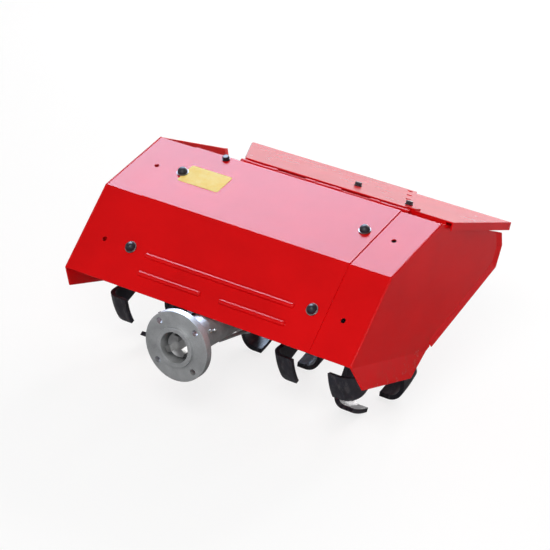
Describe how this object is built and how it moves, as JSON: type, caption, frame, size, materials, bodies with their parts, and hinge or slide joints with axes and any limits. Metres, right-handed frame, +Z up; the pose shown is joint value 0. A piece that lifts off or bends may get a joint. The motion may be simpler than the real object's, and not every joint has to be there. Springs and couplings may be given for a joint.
{
  "type": "rotary tiller",
  "caption": "Mounted rotary tiller for a walking tractor: folded hood with side wings, hinged rear flap, gear case, tined rotor and depth skid.",
  "frame": {"origin": "on the floor, straight below the middle of the rotor axis, which is also the bottom centre of the bounding box", "axes": "+X to the machine's left, +Y to its rear, +Z up; the coupling flange faces -Y"},
  "size_m": [0.622, 0.6117, 0.3605],
  "materials": {
    "red_enamel": "gloss",
    "black_enamel": "satin",
    "bright_steel": "satin",
    "cast_aluminium": "matte",
    "rubber": "matte"
  },
  "bodies": {
    "frame": {"gear_case": "cast_aluminium", "input_neck": "cast_aluminium", "coupling_flange": "cast_aluminium", "case_cover_left": "cast_aluminium", "case_cover_right": "cast_aluminium", "shaft_seals": "rubber", "oil_plugs": "bright_steel", "hood_main": "red_enamel", "hood_wing_left": "red_enamel", "hood_wing_right": "red_enamel", "end_plate_left": "red_enamel", "end_plate_right": "red_enamel", "hood_bracket": "red_enamel", "neck_bracket": "red_enamel", "wing_bolts_left": "black_enamel", "wing_bolts_right": "black_enamel", "hinge_knuckles_hood": "red_enamel", "hinge_rod": "bright_steel", "flap_rest": "red_enamel", "flap_buffer": "rubber", "rear_beam": "black_enamel", "skid_sleeve": "black_enamel", "skid_screw": "bright_steel"},
    "rotor": {"rotor_shaft": "bright_steel", "tine_hub_left": "black_enamel", "tine_hub_right": "black_enamel", "hub_bolts": "bright_steel", "tines_left_inner": "black_enamel", "tines_left_middle": "black_enamel", "tines_left_outer": "black_enamel", "tines_right_inner": "black_enamel", "tines_right_middle": "black_enamel", "tines_right_outer": "black_enamel"},
    "input": {"input_shaft": "bright_steel"},
    "flap": {"flap_main": "red_enamel", "flap_side_plate": "red_enamel", "flap_knuckles": "red_enamel"},
    "skid": {"skid_bar": "black_enamel", "skid_shoe": "black_enamel"}
  },
  "joints": [
    {"name": "rotor_spin", "type": "hinge", "parent": "frame", "child": "rotor", "pos_m": [0, 0, 0.15679], "axis": [1, 0, 0], "continuous": true},
    {"name": "input_spin", "type": "hinge", "parent": "frame", "child": "input", "pos_m": [0, -0.2, 0.15679], "axis": [0, -1, 0], "continuous": true},
    {"name": "flap_hinge", "type": "hinge", "parent": "frame", "child": "flap", "pos_m": [0, 0.061, 0.353], "axis": [1, 0, 0], "range_deg": [0, 110]},
    {"name": "skid_slide", "type": "slide", "parent": "frame", "child": "skid", "axis": [0, 0, 1], "range_m": [0, 0.07]}
  ],
  "couplings": [
    {"joint": "input_spin", "follows": "rotor_spin", "ratio": 3.5}
  ]
}
